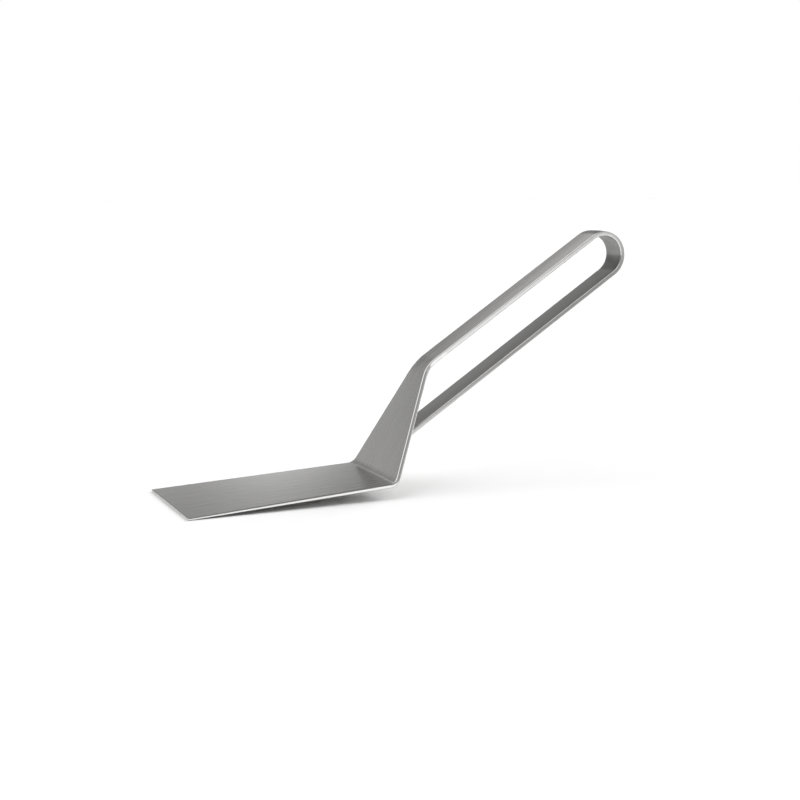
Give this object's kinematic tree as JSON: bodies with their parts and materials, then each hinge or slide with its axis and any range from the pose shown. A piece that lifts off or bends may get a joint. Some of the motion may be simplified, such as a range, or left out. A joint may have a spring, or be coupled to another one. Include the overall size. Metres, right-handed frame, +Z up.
{
  "type": "kitchen spatula",
  "caption": "Flat-bladed steel kitchen spatula with a folded, tapering neck and a long loop handle of bent flat strip, for turning and lifting food.",
  "frame": {"origin": "middle of the blade's flat underside, half way from its front edge to the heel's corner", "axes": "+X from the blade towards the handle, +Y across the blade, +Z up from what the blade rests on"},
  "size_m": [0.2463, 0.067, 0.1121],
  "materials": {
    "brushed_sheet": "fine brushed along the sheet, edges polished bright",
    "weld_steel": "satin weld metal, wire brushed"
  },
  "bodies": {
    "root": {"blade_plate": "brushed_sheet", "shoulder_seam": "brushed_sheet", "handle_loop": "brushed_sheet", "upper_weld_bead": "weld_steel", "lower_weld_bead": "weld_steel"}
  },
  "joints": []
}
